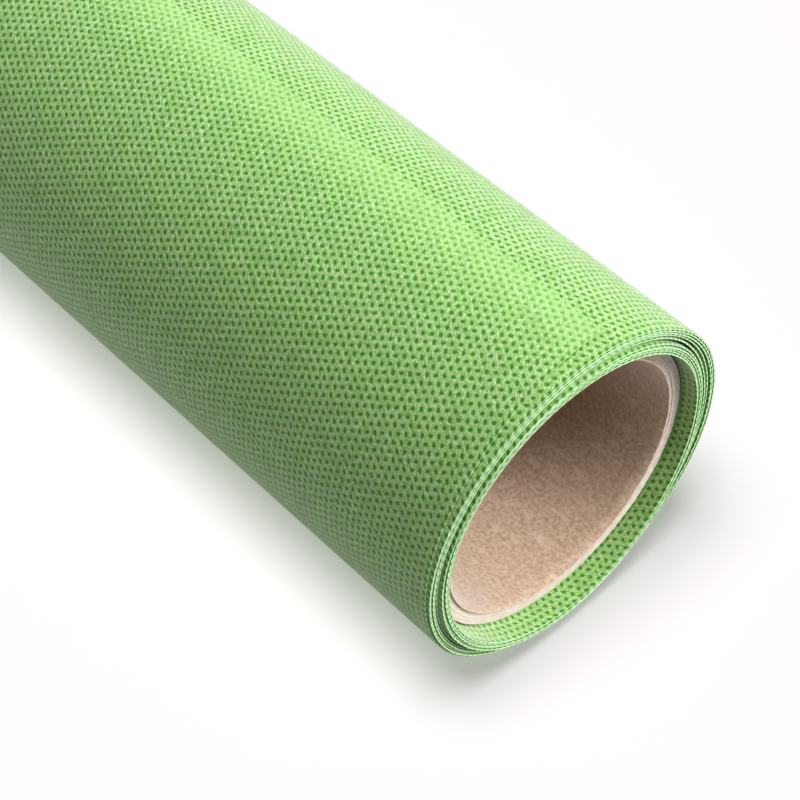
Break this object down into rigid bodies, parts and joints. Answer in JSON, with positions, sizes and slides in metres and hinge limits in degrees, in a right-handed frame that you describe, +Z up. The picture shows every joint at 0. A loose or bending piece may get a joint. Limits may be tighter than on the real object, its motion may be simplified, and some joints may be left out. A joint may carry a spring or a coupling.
{
  "type": "backdrop roll",
  "caption": "Roll of green non-woven backdrop sheet wound on a recessed cardboard core, resting on its side, with the outermost turn free to peel off and lie flat.",
  "frame": {"origin": "on the core's axis at mid-length", "axes": "+X along the core's axis, +Z up from the surface that the roll lies on, -Y the side towards which the outermost turn peels off"},
  "size_m": [1.6013, 0.0645, 0.0645],
  "materials": {
    "sheet": "matt thermally bonded non-woven with a fine point emboss, mid green",
    "core_liner": "uncoated kraft paper, mottled",
    "core_board": "uncoated greyboard plies, seen only at the cut ends",
    "core_wrap": "smooth kraft paper",
    "tape": "translucent double-sided tape"
  },
  "bodies": {
    "root": {"core_inner_liner": "core_liner", "core_body_ply_1": "core_board", "core_body_ply_2": "core_board", "core_body_ply_3": "core_board", "core_outer_wrap": "core_wrap", "start_tape_1": "tape", "start_tape_2": "tape", "start_tape_3": "tape", "start_tape_4": "tape", "start_tape_5": "tape", "wound_sheet": "sheet"},
    "flap_01": {"flap_strip_01": "sheet"},
    "flap_02": {"flap_strip_02": "sheet"},
    "flap_03": {"flap_strip_03": "sheet"},
    "flap_04": {"flap_strip_04": "sheet"},
    "flap_05": {"flap_strip_05": "sheet"},
    "flap_06": {"flap_strip_06": "sheet"},
    "flap_07": {"flap_strip_07": "sheet"},
    "flap_08": {"flap_strip_08": "sheet"},
    "flap_09": {"flap_strip_09": "sheet"},
    "flap_10": {"flap_strip_10": "sheet"}
  },
  "joints": [
    {"name": "peel_01", "type": "hinge", "parent": "root", "child": "flap_01", "pos_m": [0, -0.00338, -0.03208], "axis": [1, 0, 0], "range_deg": [0, 15.3], "stiffness_Nm_per_rad": 0.01, "springref_deg": -11.46},
    {"name": "peel_02", "type": "hinge", "parent": "flap_01", "child": "flap_02", "pos_m": [0, -0.01347, -0.02932], "axis": [1, 0, 0], "range_deg": [0, 18.6], "stiffness_Nm_per_rad": 0.01, "springref_deg": -11.46},
    {"name": "peel_03", "type": "hinge", "parent": "flap_02", "child": "flap_03", "pos_m": [0, -0.02214, -0.02349], "axis": [1, 0, 0], "range_deg": [0, 18.6], "stiffness_Nm_per_rad": 0.01, "springref_deg": -11.46},
    {"name": "peel_04", "type": "hinge", "parent": "flap_03", "child": "flap_04", "pos_m": [0, -0.02851, -0.01519], "axis": [1, 0, 0], "range_deg": [0, 18.6], "stiffness_Nm_per_rad": 0.01, "springref_deg": -11.46},
    {"name": "peel_05", "type": "hinge", "parent": "flap_04", "child": "flap_05", "pos_m": [0, -0.03189, -0.0053], "axis": [1, 0, 0], "range_deg": [0, 18.6], "stiffness_Nm_per_rad": 0.01, "springref_deg": -11.46},
    {"name": "peel_06", "type": "hinge", "parent": "flap_05", "child": "flap_06", "pos_m": [0, -0.03195, 0.00515], "axis": [1, 0, 0], "range_deg": [0, 18.6], "stiffness_Nm_per_rad": 0.01, "springref_deg": -11.46},
    {"name": "peel_07", "type": "hinge", "parent": "flap_06", "child": "flap_07", "pos_m": [0, -0.02867, 0.01508], "axis": [1, 0, 0], "range_deg": [0, 18.6], "stiffness_Nm_per_rad": 0.01, "springref_deg": -11.46},
    {"name": "peel_08", "type": "hinge", "parent": "flap_07", "child": "flap_08", "pos_m": [0, -0.02239, 0.02344], "axis": [1, 0, 0], "range_deg": [0, 18.6], "stiffness_Nm_per_rad": 0.01, "springref_deg": -11.46},
    {"name": "peel_09", "type": "hinge", "parent": "flap_08", "child": "flap_09", "pos_m": [0, -0.01377, 0.02936], "axis": [1, 0, 0], "range_deg": [0, 18.6], "stiffness_Nm_per_rad": 0.01, "springref_deg": -11.46},
    {"name": "peel_10", "type": "hinge", "parent": "flap_09", "child": "flap_10", "pos_m": [0, -0.00372, 0.03223], "axis": [1, 0, 0], "range_deg": [0, 18.6], "stiffness_Nm_per_rad": 0.01, "springref_deg": -11.46}
  ],
  "couplings": [
    {"joint": "peel_02", "follows": "peel_01", "ratio": 1.2156},
    {"joint": "peel_03", "follows": "peel_01", "ratio": 1.2156},
    {"joint": "peel_04", "follows": "peel_01", "ratio": 1.2156},
    {"joint": "peel_05", "follows": "peel_01", "ratio": 1.2156},
    {"joint": "peel_06", "follows": "peel_01", "ratio": 1.2156},
    {"joint": "peel_07", "follows": "peel_01", "ratio": 1.2156},
    {"joint": "peel_08", "follows": "peel_01", "ratio": 1.2156},
    {"joint": "peel_09", "follows": "peel_01", "ratio": 1.2156},
    {"joint": "peel_10", "follows": "peel_01", "ratio": 1.2156}
  ]
}
